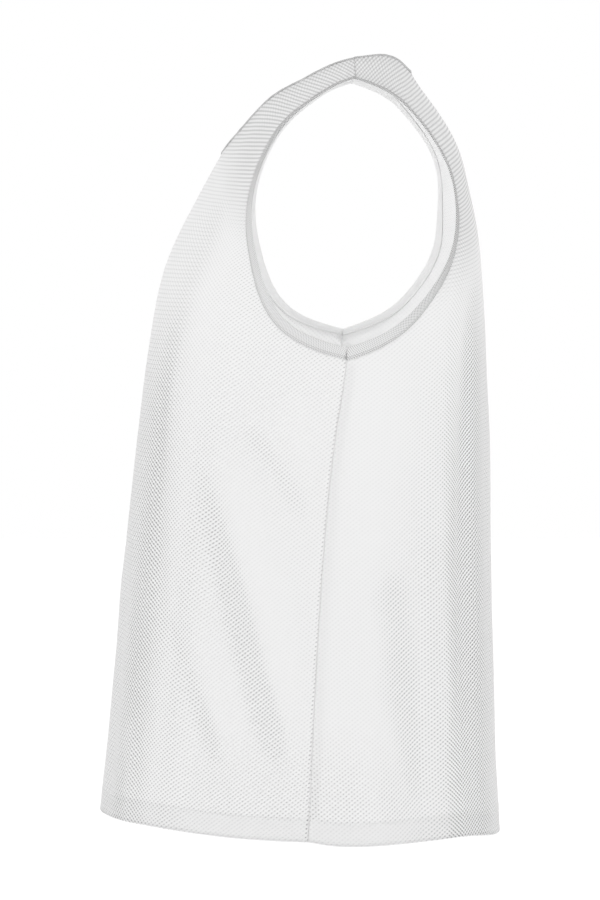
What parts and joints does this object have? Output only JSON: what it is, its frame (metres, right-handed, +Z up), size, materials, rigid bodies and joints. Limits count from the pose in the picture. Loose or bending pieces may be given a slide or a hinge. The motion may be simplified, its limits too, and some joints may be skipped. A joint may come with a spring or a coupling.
{
  "type": "training bib",
  "caption": "Sleeveless pull-over training bib in open mesh, filled out as worn, with bound neck and armholes and a turned-up hem.",
  "frame": {"origin": "midway between the two shoulder seams, level with the middle of each seam, where the wearer's shoulders hold the bib", "axes": "+X towards the wearer's left, -Y the front of the bib, +Z up"},
  "size_m": [0.4034, 0.3594, 0.6867],
  "materials": {
    "front_panel": "white open-hole polyester mesh, matt",
    "back_panel": "white open-hole polyester mesh, matt",
    "neck_band_front": "white knit binding, matt",
    "neck_band_back": "white knit binding, matt",
    "armhole_band_front_left": "white knit binding, matt",
    "armhole_band_front_right": "white knit binding, matt",
    "armhole_band_back_left": "white knit binding, matt",
    "armhole_band_back_right": "white knit binding, matt",
    "hem_front": "white open-hole polyester mesh, matt",
    "hem_back": "white open-hole polyester mesh, matt"
  },
  "bodies": {
    "root": {"front_panel": "front_panel", "back_panel": "back_panel", "neck_band_front": "neck_band_front", "neck_band_back": "neck_band_back", "armhole_band_front_left": "armhole_band_front_left", "armhole_band_front_right": "armhole_band_front_right", "armhole_band_back_left": "armhole_band_back_left", "armhole_band_back_right": "armhole_band_back_right", "hem_front": "hem_front", "hem_back": "hem_back"}
  },
  "joints": []
}
